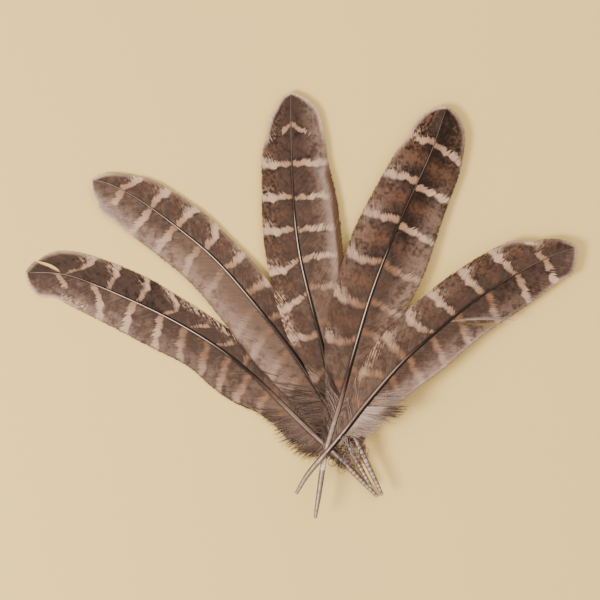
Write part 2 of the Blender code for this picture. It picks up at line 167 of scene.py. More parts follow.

# Each web has its edge, as widths at distances, and its pale bars, as distances at the shaft, half way out
# and at the edge, then, for a short bar, the shares of the width that it spans. bar_width is half a bar's
# width at the shaft and at the edge, and contrast is how plainly the bars show. light is how pale the brown
# is, and fade how much of it turns mauve towards the edge; hook and speckled are ragged pale flames past a
# bar, and fleck, band and rust are the warm browns. fringe is the pale edge, and rim a dark line along it,
# partly a curled margin and partly painted shade. rolled is a strip that curls under, painted dark brown as
# its own colour and painted shade, for the curl is not modelled; soft is a pale outer half. A slit is
# (distance, how far out it starts, width it opens to, how far it closes again at the edge), and frays are
# short random ones.
WEBS = {
    "far_left_leading": dict(
        edge=[(31, 1.9), (38, 4.4), (48, 5.2), (62, 7), (80, 8), (100, 9), (118, 10), (131, 11.3),
              (148, 11.2), (160, 10.6), (165, 10), (168.5, 9.3), (172, 7.8), (176, 5.1), (178.6, 2.6),
              (180, 0.9)],
        light=[(50, 0.95), (60, 0.9), (70, 0.64), (80, 0.54), (95, 0.46), (104, 0.58), (125, 0.32),
               (140, 0.36), (160, 0.38)],
        bars=[(62, 62, 61), (79, 79.5, 78, 0, 0.6), (93, 89, 85, 0, 0.62), (107.5, 101.5, 97, 0, 0.6),
              (119.5, 115.5, 120.5), (131.5, 130, 131.5), (144.5, 144, 144), (164, 157, 154)],
        bar_width=(0.8, 1.5), contrast=[(50, 0.3), (75, 0.8), (90, 1)], hook=[(100, 0.3), (116, 1)],
        speckled=(88, 113), fleck=0.1, rust=[(70, 1), (95, 0.2)],
        fringe=[(148, 0), (157, 0.5), (163, 0.6), (171, 0.6), (177, 0.4)], slits=[(165.3, 0.06, 6.8, 0.8)],
        frays=5),
    "far_left_trailing": dict(
        edge=[(29, 4.2), (33, 8), (38, 9.6), (47, 9.6), (52, 9), (60, 10.1), (66, 12.4), (73, 14.4),
              (84, 15.4), (100, 14), (118, 14.8), (145, 13.5), (160, 12), (166, 10.7), (172, 10.7),
              (175.4, 10.2), (177.8, 8), (179.5, 5.2), (180.2, 2.6), (180.4, 0.9)],
        light=[(50, 1.1), (58, 0.96), (66, 0.76), (80, 0.7), (95, 0.6), (115, 0.54), (130, 0.7), (142, 0.74),
               (155, 0.68), (165, 0.6)],
        bars=[(53.5, 53, 52), (64, 62.5, 60), (74.5, 73, 71), (86.5, 83.5, 80), (97.5, 94.5, 91),
              (108, 106.5, 102.5), (119.5, 118, 115.5), (132.5, 132, 130.5), (151.5, 145.5, 143.5),
              (167.5, 162.5, 160, 0, 0.45)], bar_width=(1.7, 2), contrast=[(50, 0.8), (105, 0.8), (120, 1)],
        speckled=(150, 162), fleck=0.15,
        fade=[(50, 0.1), (90, 0.35), (110, 0.42), (128, 0.6), (142, 0.8), (152, 0.55)],
        rust=[(100, 1), (122, 0)], fringe=[(140, 0), (160, 0.6), (179, 1)],
        rim=[(50, 1), (78, 1), (90, 0.7), (160, 0.7), (168, 0)],
        slits=[(45, 0.5, 0.8, 0), (49, 0.7, 0.6, 0)], frays=7),
    "left_leading": dict(
        edge=[(26, 1.9), (32, 4), (46, 5), (60, 7), (80, 9), (97, 10.8), (118, 10.7), (131, 11.7),
              (150, 10.8), (158, 9.6), (162, 8.2), (168, 6.2), (172.5, 4.4), (176.5, 2.2), (178.6, 0.6)],
        light=[(50, 1), (60, 0.88), (70, 0.56), (80, 0.36), (92, 0.64), (104, 0.62), (116, 0.58),
               (128, 0.62), (155, 0.6)],
        bars=[(56, 55, 54), (69, 68, 66), (82.5, 81, 80), (97, 95.5, 94.5), (111, 109.5, 110),
              (122, 122.5, 124.5), (137, 137, 135), (151, 150.5, 148.5), (165.5, 163, 160.5)],
        bar_width=(1.3, 2), contrast=[(50, 0.3), (75, 0.6), (92, 1)], hook=0.9,
        fleck=[(100, 0.25), (120, 0.5)], band=0.2, fade=0.1, rust=[(90, 0.8), (105, 0.3), (125, 0)],
        fringe=[(150, 0.2), (160, 0.35), (170, 0.4), (174, 0.8), (177, 0.9)], frays=6),
    "left_trailing": dict(
        edge=[(23, 3), (27, 7.5), (32, 10.6), (40, 12.2), (50, 12.8), (60, 14.2), (72, 15.7), (90, 15.4),
              (115, 14.8), (150, 14.6), (160, 13.9), (166, 13.3), (170.5, 12.3), (174, 10.4), (176.7, 7.6),
              (178.3, 4.2), (178.8, 1.2)],
        light=[(50, 0.75), (65, 0.88), (80, 0.95), (92, 1), (104, 1.1), (118, 1.1), (128, 0.94), (140, 0.72),
               (155, 0.7), (170, 0.84)],
        bars=[(56, 54, 52), (67, 65, 62), (79, 77, 74), (90, 88, 86), (110.5, 109, 107), (124.5, 124, 121),
              (138, 138, 138), (151, 151, 152.5), (165, 165.5, 166, 0, 0.55)], bar_width=(1.7, 2),
        contrast=[(50, 0.5), (65, 0.65), (85, 0.5), (100, 0.3), (115, 0.5), (130, 0.75), (145, 1)],
        fleck=0.3, band=0.1, fade=[(45, 0.5), (70, 0.95), (130, 1)], soft=[(140, 0), (160, 0.5), (177, 0.8)],
        rust=[(60, 1), (95, 0.7), (115, 0)], fringe=[(145, 0), (165, 0.8), (177, 1)],
        rim=[(58, 0), (66, 0.8), (140, 0.8), (150, 0)], slits=[(48, 0.7, 0.5, 0)], frays=6),
    "centre_leading": dict(
        edge=[(24, 1.9), (29, 4), (44, 5.5), (55, 8), (64, 10), (70, 12), (80, 14), (110, 14.5), (140, 13.2),
              (149, 12.8), (157, 10.7), (161, 9.8), (165, 8.5), (169, 6.4), (172.3, 4.5), (174.3, 2.2),
              (175, 0.8)], light=[(50, 0.5), (80, 0.58), (95, 0.62), (110, 0.5), (125, 0.46), (140, 0.4)],
        bars=[(58, 56, 55), (72.5, 72.5, 74.5), (91, 87.5, 85.5), (106, 102, 102.5), (118.5, 117.3, 118.5),
              (131.5, 131.3, 131), (145.5, 144.8, 145), (162, 157, 152, 0, 0.36)], bar_width=(1.2, 1.9),
        contrast=[(50, 0.3), (68, 0.8), (80, 1)], hook=1, speckled=(72, 92), fleck=[(60, 0.1), (95, 0.5)],
        band=0.25, rust=[(68, 0.6), (85, 0)], fringe=[(148, 0), (158, 0.9), (174, 1)],
        slits=[(60, 0.55, 0.4, 0)], frays=6),
    "centre_trailing": dict(
        edge=[(22, 1.9), (27, 4.6), (44, 6.5), (60, 11), (75, 14), (90, 16.3), (108, 18.4), (120, 18.8),
              (132, 18.1), (145, 15.6), (152, 14.8), (158, 13.9), (164, 12.7), (167.5, 11.6), (170.5, 9.3),
              (173, 6), (174.6, 2.6), (175.1, 1)],
        light=[(55, 0.72), (66, 0.88), (80, 1), (95, 0.72), (110, 0.56), (125, 0.54), (140, 0.37),
               (155, 0.36), (165, 0.44)],
        bars=[(64, 62, 60), (78, 76, 74), (92.5, 91, 89.5), (104, 104.5, 102.5), (117, 117, 116),
              (130.5, 131, 130.5), (145.5, 145, 145), (162, 157.5, 153, 0, 0.48)], bar_width=(1.2, 1.7),
        contrast=[(60, 0.6), (90, 0.9), (110, 1)], hook=0.2, fleck=0.25, band=0.2,
        fade=[(60, 0.3), (90, 0.6), (135, 0.6), (150, 0.65), (170, 0.6)],
        rust=[(70, 1), (92, 0.5), (105, 0)], fringe=[(150, 0), (160, 1)],
        rolled=[(84, 0), (94, 1), (140, 1), (150, 0)], frays=5),
    "right_leading": dict(
        edge=[(30, 1.9), (36, 4), (46, 5.5), (58, 9), (66, 11.5), (75, 14), (90, 15.4), (115, 16.7),
              (130, 16.1), (145, 14.9), (155, 14), (160, 12.8), (163.5, 11.6), (168, 11.3), (172.5, 9.9),
              (176.5, 7.7), (179, 5.2), (180.5, 2.6), (180.9, 1.1)],
        light=[(50, 0.75), (65, 0.7), (80, 0.56), (95, 0.56), (106, 0.38), (125, 0.26), (138, 0.16),
               (148, 0.2), (160, 0.14), (166, 0.12), (172, 0.36)],
        bars=[(58, 56, 54), (77.5, 73.5, 75), (91.5, 90.8, 92.5), (111.5, 108.5, 110), (129.5, 128, 127),
              (147.5, 146.5, 144.5), (165.5, 164.5, 163.5, 0, 0.72)], bar_width=(1.5, 1.9),
        contrast=[(50, 0.4), (66, 0.8), (80, 1)], hook=1,
        fleck=[(70, 0.1), (110, 0.4), (155, 0.5), (168, 0.9)], band=[(70, 0.2), (100, 1)],
        fade=[(85, 0), (100, 0.25), (116, 0.5), (145, 0.46), (152, 0.4), (160, 0)],
        rust=[(65, 1), (115, 0.5), (135, 0.1)], fringe=[(148, 0), (160, 0.8), (179, 1)],
        slits=[(149, 0.62, 0.15, 0)], frays=6),
    "right_trailing": dict(
        edge=[(30, 1.9), (36, 4.6), (48, 7.2), (60, 11), (75, 13.4), (92, 15.6), (106, 17.6), (116, 18),
              (128, 17.2), (145, 15.6), (156, 14.8), (160, 14.2), (164, 13.4), (168, 12.6), (172.3, 11.2),
              (175.9, 9), (178.7, 6.2), (180.4, 3.2), (180.9, 1.4)],
        light=[(50, 1), (58, 0.95), (66, 0.84), (80, 0.6), (95, 0.5), (110, 0.4), (125, 0.16), (140, 0),
               (164, 0), (170, 0.06)],
        bars=[(65, 62, 60), (80, 79.5, 77), (94, 92.5, 91), (110.5, 108.5, 109), (127.5, 127, 125.5),
              (145, 145.5, 145), (164.5, 163, 161)], bar_width=(1.5, 1.7),
        contrast=[(60, 0.7), (100, 0.9), (120, 1), (152, 1), (162, 0.8)], hook=0.15, fleck=0.35,
        band=[(100, 0.3), (130, 0.7)],
        fade=[(60, 0.3), (90, 0.85), (112, 0.7), (128, 0.6), (150, 0.2), (160, 0.05)],
        rust=[(60, 1), (112, 0.9), (130, 0)], fringe=[(155, 0), (168, 0.4), (179, 0.45)],
        rim=[(85, 0), (95, 0.7), (165, 0.7), (172, 0)],
        slits=[(72, 0.55, 1, 0), (77, 0.62, 0.9, 0), (81, 0.72, 0.7, 0), (86, 0.8, 0.5, 0)], frays=8),
    "far_right_leading": dict(
        edge=[(28, 2), (34, 4.6), (42, 7), (55, 11), (66, 13.2), (78, 14.5), (95, 15), (120, 14.5),
              (133, 13.8), (137, 12.9), (140, 11.2), (143, 9), (146, 8.4), (150, 7), (153.5, 5.1),
              (156.5, 3), (158.3, 1)],
        light=[(50, 0.85), (58, 0.85), (66, 0.75), (80, 0.64), (95, 0.54), (110, 0.44), (125, 0.5),
               (145, 0.54), (152, 0.4)],
        bars=[(47, 45, 43), (62, 58.5, 56), (72, 72, 73), (89, 84.5, 85.5), (100, 98.5, 97.5),
              (115, 113, 112.5), (130.5, 128.5, 126), (144, 142.5, 143, 0, 0.42), (144, 143, 141, 0.85, 1)],
        bar_width=(1.3, 2), contrast=[(40, 0.4), (52, 0.9), (70, 1)], hook=1, speckled=(52, 70),
        fleck=[(60, 0.15), (85, 0.6)], band=[(60, 0.1), (85, 0.4)],
        fade=[(66, 0), (80, 0.25), (104, 0.25), (116, 0)], rust=[(60, 1), (76, 0.8), (90, 0.1)],
        fringe=[(126, 0), (134, 0.7), (141, 0.8), (145, 0.4), (148, 0.15), (153, 0.15), (158, 0.6)],
        slits=[(133.5, 0.25, 0.16, 0)], frays=6),
    "far_right_trailing": dict(
        edge=[(32.5, 2.4), (35, 6.2), (38.5, 9.2), (43, 10.8), (48, 11), (53, 10), (60, 11), (68, 12.3),
              (80, 13.7), (100, 13.8), (122, 14.2), (133, 13.4), (140, 12.3), (145, 11.3), (149, 11.1),
              (152.5, 10.6), (154.7, 8.8), (156.6, 5.8), (157.9, 2.8), (158.4, 1.2)],
        light=[(50, 0.72), (65, 0.55), (80, 0.56), (95, 0.5), (110, 0.34), (118, 0.36), (125, 0.22),
               (136, 0.3), (146, 0.46), (152, 0.66)],
        bars=[(51, 50, 48), (62.5, 60.5, 59), (73.5, 71.5, 70), (86.5, 85, 83), (101, 98.5, 96.5),
              (117, 114.5, 112.5), (131.5, 130.5, 129.5), (144.5, 144.5, 144.5, 0, 0.42),
              (144, 144, 144, 0.6, 1)], bar_width=(1.5, 1.6), contrast=[(50, 0.9), (110, 1)], fleck=0.15,
        band=0.2, fade=[(50, 1), (80, 0.85), (105, 0.7), (120, 0.45), (140, 0.15), (152, 0)],
        rust=[(60, 1), (112, 1), (125, 0.6), (140, 0.1)],
        fringe=[(40, 0.5), (100, 0.6), (125, 0.2), (140, 0.5), (150, 0.6)],
        rim=[(52, 0), (60, 0.6), (125, 0.6), (135, 0)],
        soft=[(40, 1.2), (52, 1), (62, 0.6), (75, 0.3), (95, 0)],
        slits=[(95.5, 0.14, 2.6, 0), (44, 0.6, 0.8, 0), (48, 0.75, 0.7, 0)], frays=7),
}

# What a web has where its own facts leave it out.
PLAIN_WEB = dict(hook=0, speckled=(0, 0), band=0, fade=0, rim=0, rolled=0, soft=0, slits=[])

# The down at the foot of each web, in mm: where a tuft's barbs start and end, how many loose strands it has,
# how far they stand out past the web (least, most), how dark they are, and how much of the web's lean the
# lowest have. lean and stray are the barbs' own lean and how much it varies, coarse makes them thicker, and
# ends leaves only their ends dark. The first tuft is also the sheet that the loose strands lie on.
# Curls are short curled barbs round the top of the barrel: where, how many, on which side, how long and how
# dark.
Tuft = namedtuple("Tuft", "first last strands proud dark splay lean stray coarse ends",
                  defaults=(0.9, 0.15, 1, 0))
Curl = namedtuple("Curl", "at count side reach dark")

DOWN = {
    "far_left": dict(
        leading=[Tuft(26, 52, 220, (-2.3, 2.6), 0.8, 0.6),
                 Tuft(30, 42, 60, (-0.5, 1.5), 1.1, 0.9)],
        trailing=[Tuft(22, 54, 240, (-1.6, 1.8), 0.65, 0.15),
                  Tuft(25, 44, 90, (0.2, 3.4), 1, -0.1, coarse=1.8, ends=0.4)],
        curls=[Curl(21, 30, -1, 8, 0.5), Curl(20.5, 9, 1, 13, 0.55)]),
    "left": dict(
        leading=[Tuft(25, 48, 120, (-0.9, 1), 0.95, 0.8)],
        trailing=[Tuft(21, 46, 240, (-1.3, 1.4), 0.82, 0.3)],
        curls=[Curl(20.5, 30, 1, 8, 0.5)]),
    "centre": dict(
        leading=[Tuft(23, 46, 120, (-0.9, 1), 0.9, 0.8)],
        trailing=[Tuft(21, 46, 120, (-0.72, 0.8), 0.6, 0.6)],
        curls=[Curl(20.5, 34, 1, 8, 0.5), Curl(22, 18, -1, 6, 0.5)]),
    "right": dict(
        leading=[Tuft(27, 50, 110, (-0.9, 1), 0.7, 1.6),
                 Tuft(34, 52, 50, (-0.45, 0.5), 0.8, 2.4),
                 Tuft(34, 50, 24, (0, 0), 0.1, 2.2)],
        trailing=[Tuft(29, 50, 80, (-0.72, 0.8), 0.35, 0.9)],
        curls=[Curl(26, 4, -1, 8, 0.4)]),
    "far_right": dict(
        leading=[Tuft(27, 44, 60, (-0.72, 0.8), 0.5, 0.9)],
        trailing=[Tuft(27, 54, 150, (-1.6, 1.8), 0.12, 0.1),
                  Tuft(43.5, 46, 90, (1.5, 4.6), 0.75, 0.3, stray=0.06, coarse=1.6, ends=0.9),
                  Tuft(96.4, 97.8, 16, (0.5, 2.6), 0, 1, lean=1.45, stray=0.03)],
        curls=[Curl(31, 5, -1, 8, 0.4)]),
}


# ---------- curves and levels ----------


def smooth(low, high, value):
    """0 at low and 1 at high, with soft ends."""
    share = np.clip((np.asarray(value, float) - low) / (high - low), 0.0, 1.0)
    return share * share * (3 - 2 * share)


def strength(stops, station):
    """A feature's strength at these distances, from its list of (distance, strength) or its one number."""
    if not isinstance(stops, list):
        return stops + 0 * station
    at, value = np.array(stops, float).T
    return np.interp(station, at, value)


def catmull_rom(points, samples):
    """Points along a Catmull-Rom curve through the given points."""
    stops = np.array(points, float)
    stops = np.vstack([2 * stops[0] - stops[1], stops, 2 * stops[-1] - stops[-2]])
    place = np.linspace(0, len(points) - 1, samples)
    i = np.minimum(place.astype(int), len(points) - 2)
    t = (place - i)[:, None]
    a, b, c, d = stops[i], stops[i + 1], stops[i + 2], stops[i + 3]
    return 0.5 * (2 * b + (c - a) * t + (2 * a - 5 * b + 4 * c - d) * t**2 + (3 * b - a - 3 * c + d) * t**3)


def depth_at(reach):
    """How deep a level is, by distance from the crossing."""
    return BARREL_DEPTH + (TIP_DEPTH - BARREL_DEPTH) * smooth(BARREL_REACH, TIP_REACH, reach)


def in_space(plan, level, offset, lift=0.0):
    """World points over plan, in mm from the crossing. offset is a share of the depth, and lift is mm."""
    depth = depth_at(np.hypot(plan[..., 0], plan[..., 1]))
    z = level * (depth + GAP) + depth * (0.5 + offset) + lift
    return np.stack([CROSSING[0] + plan[..., 0], CROSSING[1] + plan[..., 1], z], axis=-1) * MM


class Route:
    """A shaft's line in plan, read by distance from the quill's lower end."""

    def __init__(self, points):
        self.line = catmull_rom(points, 900)
        self.along = np.concatenate([[0], np.cumsum(np.linalg.norm(np.diff(self.line, axis=0), axis=1))])
        self.length = self.along[-1]

    def at(self, distance):
        return np.stack([np.interp(distance, self.along, self.line[:, k]) for k in (0, 1)], axis=-1)

    def beside(self, distance, left):
        """Points at these distances, left of the line by these widths. It goes straight on past its end."""
        distance = np.asarray(distance, float)
        here = np.minimum(distance, self.length)
        ahead = self.at(np.minimum(here + 2, self.length)) - self.at(np.maximum(here - 2, 0))
        ahead = ahead / np.linalg.norm(ahead, axis=-1, keepdims=True)
        beyond = np.maximum(distance - self.length, 0)[..., None] * ahead
        normal = np.stack([-ahead[..., 1], ahead[..., 0]], axis=-1)
        return self.at(distance) + beyond + normal * np.asarray(left, float)[..., None]


def outline(stops):
    """A function that gives a web's width at a distance: a smooth curve, and nothing past its ends."""
    curve = catmull_rom(stops, 400)
    order = np.maximum.accumulate(curve[:, 0])
    return lambda distance: np.interp(distance, order, curve[:, 1], left=0.0, right=0.0)


def shaft_radius(distance, length):
    """A quill's radius in mm. The stops are for the full length, and only the rachis stretches."""
    at, radius = np.array(SHAFT_RADII, float).T
    stretch = (length - STRETCH_FROM) / (FULL_LENGTH - STRETCH_FROM)
    at = np.where(at > STRETCH_FROM, STRETCH_FROM + (at - STRETCH_FROM) * stretch, at)
    return np.interp(distance, at, radius)


# ---------- meshes ----------


def in_scene(name, data):
    """A new object in the scene."""
    made = bpy.data.objects.new(name, data)
    bpy.context.scene.collection.objects.link(made)
    return made


class Shape:
    """Vertices in metres, faces and per-vertex fields, gathered from parts."""

    def __init__(self):
        self.verts = []
        self.faces = []
        self.fields = []
        self.count = 0

    def add(self, verts, faces, **fields):
        verts = np.asarray(verts).reshape(-1, 3)
        self.verts.append(verts)
        self.faces += [[corner + self.count for corner in face] for face in faces]
        flat = {key: np.broadcast_to(np.ravel(value), len(verts)) for key, value in fields.items()}
        self.fields.append(flat)
        self.count += len(verts)

    def build(self, name):
        mesh = bpy.data.meshes.new(name)
        mesh.from_pydata(np.concatenate(self.verts).tolist(), [], self.faces)
        for key in sorted({key for part in self.fields for key in part}):
            values = [part.get(key, np.zeros(len(verts))) for part, verts in zip(self.fields, self.verts)]
            layer = mesh.attributes.new(key, "FLOAT", "POINT")
            layer.data.foreach_set("value", np.concatenate(values).astype(np.float32))
        mesh.update()
        mesh.shade_smooth()
        return in_scene(name, mesh)


def unit(vectors):
    """The same directions, one long."""
    return vectors / np.maximum(np.linalg.norm(vectors, axis=-1, keepdims=True), 1e-12)


def ring_walls(here):
    """Four-cornered faces between neighbouring rings, from vertex numbers as (..., rings, sides)."""
    after = np.roll(here, -1, axis=-1)
    walls = [here[..., :-1, :], here[..., 1:, :], after[..., 1:, :], after[..., :-1, :]]
    return np.stack(walls, axis=-1).reshape(-1, 4)


def thick(verts, faces, thickness):
    """A sheet made into a closed solid: a copy above, a copy below, and a rim between them."""
    half = np.array([0, 0, thickness / 2 * MM])
    used, faces = np.unique(np.array(faces), return_inverse=True)
    faces = faces.reshape(-1, 4)
    count = len(used)
    edges = np.concatenate([faces[:, [k, (k + 1) % 4]] for k in range(4)])
    key = edges.min(axis=1) * count + edges.max(axis=1)
    found, times = np.unique(key, return_counts=True)
    single = np.isin(key, found[times == 1])
    a, b = edges[single].T
    rim = np.stack([b, a, a + count, b + count], axis=1)
    solid = np.concatenate([faces, faces[:, ::-1] + count, rim])
    return np.concatenate([verts[used] + half, verts[used] - half]), solid.tolist(), used


def tubes(paths, radii, sides):
    """Closed round tubes along (count, points, 3) paths in metres, with (count, points) radii in mm."""
    count, points, _ = paths.shape
    ahead = unit(np.gradient(paths, axis=1))
    across = unit(np.cross(ahead, [0.0, 0.0, 1.0]))
    up = np.cross(across, ahead)
    turn = np.linspace(0, 2 * math.pi, sides, endpoint=False)
    ring = across[:, :, None] * np.cos(turn)[:, None] + up[:, :, None] * np.sin(turn)[:, None]
    radii = np.broadcast_to(radii, (count, points)) * MM
    verts = (paths[:, :, None] + ring * radii[:, :, None, None]).reshape(-1, 3)
    here = np.arange(count * points * sides).reshape(count, points, sides)
    ends = np.concatenate([here[:, 0], here[:, -1, ::-1]])
    return verts, ring_walls(here).tolist() + ends.tolist()


# ---------- the web ----------


def bar_places(vane, x, y, share, seed):
    """mm outside the nearest pale bar, mm past its middle, and the share of the way to the next one."""
    rng = np.random.default_rng(seed + 100)
    stops = np.array([(*bar, 0, 1)[:5] for bar in vane["bars"]], float)
    at_shaft, half_way, at_edge, first, last = stops.T[:, :, None, None]
    bend = 2 * half_way - (at_shaft + at_edge) / 2
    centres = at_shaft * (1 - share) ** 2 + 2 * bend * share * (1 - share) + at_edge * share**2
    phase = rng.uniform(0, 2 * math.pi, (2, len(stops), 1, 1))
    wave = np.sin(y * 0.9 + phase[0]) + 0.6 * np.sin(y * 1.9 + phase[1])
    past = x - (centres + BAR_WAVE * wave * smooth(0, 0.2, share))
    inner, outer = vane["bar_width"]
    uneven = 1 + BAR_UNEVEN * np.sin(y * 1.3 + phase[1] + 1)
    half_width = BAR_NARROWING * (inner + (outer - inner) * share) * uneven
    short = np.maximum(first - share, share - last) * BAR_CUT
    outside = np.maximum(np.abs(past) - half_width, short)
    nearest = outside.argmin(axis=0)
    distance = np.take_along_axis(past, nearest[None], axis=0)[0]
    below = np.where(past >= 0, past, FAR).min(axis=0)
    above = np.where(past < 0, -past, FAR).min(axis=0)
    return outside.min(axis=0), distance, below / (below + above)


def pattern(vane, x, y, edge, rim, seed):
    """What the web's material is told at each point. rim is the distance in from the web's edge, in mm."""
    share = np.clip(y / edge, 0, 1)
    outside, past, between = bar_places(vane, x, y, share, seed)
    told = {key: strength(vane[key], x) for key in ("hook", "contrast", "band", "fleck", "fade", "rust",
                                                    "fringe", "rim", "rolled", "soft", "light")}
    hook = told["hook"] * smooth(0.5, 0.8, share) * smooth(6.5, 1.5, past) * (past > 0)
    first, last = vane["speckled"]
    flames = smooth(first - 3, first, x) * smooth(last + 3, last, x) * smooth(0.62, 0.85, share) * (last > 0)
    told["hook"] = np.maximum(hook, flames)
    told["band"] *= np.exp(-(((between - 0.52) / 0.16) ** 2)) * smooth(0.02, 0.15, share)
    told["fleck"] *= smooth(0.1, 0.7, share)
    told["fade"] *= smooth(0.25, 0.85, share)
    told["rust"] *= 1 - 0.6 * smooth(0.3, 1.0, share)
    told["fringe"] *= smooth(1.9, 0.4, rim)
    # The dark rim along the edge: partly a curled margin, partly painted shade.
    told["rim"] *= smooth(0.95, 0.5, rim)
    # The rolled strip: dark brown that is partly its own colour and partly painted shade of the curl under
    # it.
    rolled = told["rolled"]
    told["pale"] = 0.7 * rolled * smooth(7.5, 3.4, rim) + told.pop("soft") * smooth(0.4, 0.9, share)
    told["rolled"] = rolled * smooth(3.2 * rolled + 0.1, 2.4 * rolled, rim)
    told["above"] = smooth(-0.3, 0.9, past) * (0.35 + 0.65 * smooth(0.1, 0.7, share))
    return {**told, "bar": outside, "distance": x}


def barb_sheet(shape, route, level, side, vane, start, end, look, seed):
    """Barbs side by side, hooked into a sheet, with slits where they have come apart."""
    rng = np.random.default_rng(seed)
    width = outline(vane["edge"])
    steps = rng.uniform(*PITCH_VARIES, int((end - start) / BARB_PITCH))
    roots = start + np.cumsum(steps) * (end - start) / steps.sum()
    count = len(roots)

    def crowd(root):
        """How much further over than usual a barb leans, near the quill's tip."""
        return 1 + TIP_CROWDING * smooth(route.length - CROWDED_LENGTH, route.length, root) ** 1.5

    def forward(root, lateral):
        """How far ahead of its root a barb has come."""
        splay = look["splay"] + (1 - look["splay"]) * smooth(DOWN_START, SPLAY_END, root)
        return lateral * (look["lean"] * splay + look["sweep"] * lateral) * crowd(root)

    # Each barb ends where it meets the outline.
    lateral = np.linspace(0, WIDEST_WEB, 10 * WIDEST_WEB + 1)
    outside = lateral >= width(roots[:, None] + forward(roots[:, None], lateral))
    outside[:, 0] = False
    first = np.where(outside.any(axis=1), outside.argmax(axis=1), len(lateral) - 1)
    ragged = 1 / crowd(roots) ** 2
    tip = lateral[first] * (1 - ragged * np.abs(rng.normal(0, look["uneven"], count)))
    tip = tip + ragged * rng.uniform(-0.1, 0.1, count)
    inner = shaft_radius(roots, route.length) * SHAFT_HOLD * smooth(route.length, route.length - 2, roots)
    tip = np.maximum(tip, inner + LEAST_BARB)

    # Loose barbs lie in tufts.
    clump = look["tousle"] * np.convolve(rng.normal(0, 1, count + 8), np.hanning(9), "valid")
    slits = [(int(np.abs(roots - at).argmin()), *rest) for at, *rest in look["slits"]]
    for _ in range(look["frays"]):
        barb = int(rng.integers(2, 0.8 * count))
        slits.append((barb, rng.uniform(*FRAY_FROM), rng.uniform(*FRAY_OVERLAP), 0.0))

    # Two columns of points for each barb: its ridge, and the groove before the next one.
    rows = np.linspace(0, 1, BARB_ROWS) ** 0.9
    columns = np.arange(2 * count)
    column_root = np.repeat(roots, 2)
    column_root[1::2] = np.append((roots[:-1] + roots[1:]) / 2, roots[-1] + BARB_PITCH * 0.4)
    column_inner = np.repeat(inner, 2)
    column_tip = np.repeat(tip, 2)
    column_tip[1::2] = np.append(np.minimum(tip[:-1], tip[1:]), tip[-1])
    column_tip[1::2] -= ragged * rng.uniform(0.1, look["notch"], count)
    column_tip = np.maximum(column_tip, column_inner + 0.2)
    y = column_inner[:, None] + (column_tip - column_inner)[:, None] * rows
    tuft = np.repeat(clump, 2)[:, None] * rows**1.6
    x = column_root[:, None] + forward(column_root[:, None], y) + tuft
    lift = 0.06 * tuft
    for barb, share, opening, closing in slits:
        away = columns - (2 * barb + 1.5)
        past = np.clip((rows - share) / (1 - share), 0, 1)
        spread = past**0.8 * (1 - closing * past**3)
        shift = np.where(away > 0, 0.25, -0.75) * opening * np.exp(-np.abs(away) / max(12, 6 * opening))
        x += shift[:, None] * spread
        curl = np.where(away > 0, 0.08, -0.05) * np.exp(-np.abs(away) / 8)
        lift += curl[:, None] * spread * min(opening, 1)

    edge = np.maximum(width(x), 0.4)
    rim = (edge - y) / np.hypot(1, width(x + 0.5) - width(x - 0.5))
    share_out = np.clip(y / edge, 0, 1.1)
    plan = route.beside(x, side * y)
    ridge = np.where(columns % 2 == 0, RIDGE, -RIDGE)[:, None] * (1 - 0.6 * (rows > 0.97))
    wave = 0.05 * np.sin(x * 0.23 + seed) * share_out + 0.03 * np.sin(x * 0.71 + 2 * seed) * share_out**2
    room = depth_at(np.hypot(plan[..., 0], plan[..., 1])) / BARREL_DEPTH
    offset = WEB_RISE - (WEB_RISE + WEB_DROOP) * share_out**1.6
    verts = in_space(plan, level, offset, ridge + wave * (0.6 + room) + lift * (0.5 + room)).reshape(-1, 3)

    # Faces join neighbouring columns, and stop where a slit starts.
    cut = np.full(2 * count - 1, 2.0)
    for barb, share, _, _ in slits:
        cut[2 * barb + 1] = min(cut[2 * barb + 1], share)
    column, row = np.meshgrid(np.arange(2 * count - 1), np.arange(BARB_ROWS - 1), indexing="ij")
    kept = rows[row + 1] <= cut[column] + 1e-6
    a = (column * BARB_ROWS + row)[kept]
    faces = np.stack([a, a + BARB_ROWS, a + BARB_ROWS + 1, a + 1], axis=1)
    if side > 0:
        faces = faces[:, ::-1]

    tone = np.repeat(rng.uniform(-1, 1, count), 2)[:, None]
    fields = {**pattern(vane, x, y, edge, rim, seed), **look["fields"](x, share_out)}
    fields.update(root=column_root[:, None], lateral=y, tone=tone, seed=float(seed))
    solid, solid_faces, used = thick(verts, faces, WEB_THICKNESS)
    twice = {key: np.tile(np.broadcast_to(value, y.shape).ravel()[used], 2) for key, value in fields.items()}
    shape.add(solid, solid_faces, **twice)


def web(name, quill, level, half, side, seed):
    vane = quill[half]
    lean, sweep = WEB_LEAN[half]
    look = dict(lean=lean, sweep=sweep, splay=DOWN[name][half][0].splay, notch=0.35, uneven=0.01, tousle=0,
                slits=vane["slits"], frays=vane["frays"], fields=lambda x, share: {})
    shape = Shape()
    end = vane["edge"][-1][0] - 0.2
    barb_sheet(shape, quill["route"], level, side, vane, WEB_START, end, look, seed)
    return shape.build(f"{name}_{half}_web")


# ---------- the down ----------


def hairs(shape, paths, radii, sides, darkness, tone, along, ends=0):
    """Tubes, each with its own darkness and tone. along is the way from root to end, at the path's points."""
    verts, faces = tubes(paths, radii, sides)
    each = len(verts) // len(paths)
    along = np.tile(np.repeat(np.broadcast_to(along, paths.shape[1]), sides), len(paths))
    darkness = np.repeat(darkness, each) * (1 - ends * (1 - smooth(0.35, 0.75, along)))
    shape.add(verts, faces, darkness=darkness, tone=np.repeat(tone, each), along=along, strand=1.0)


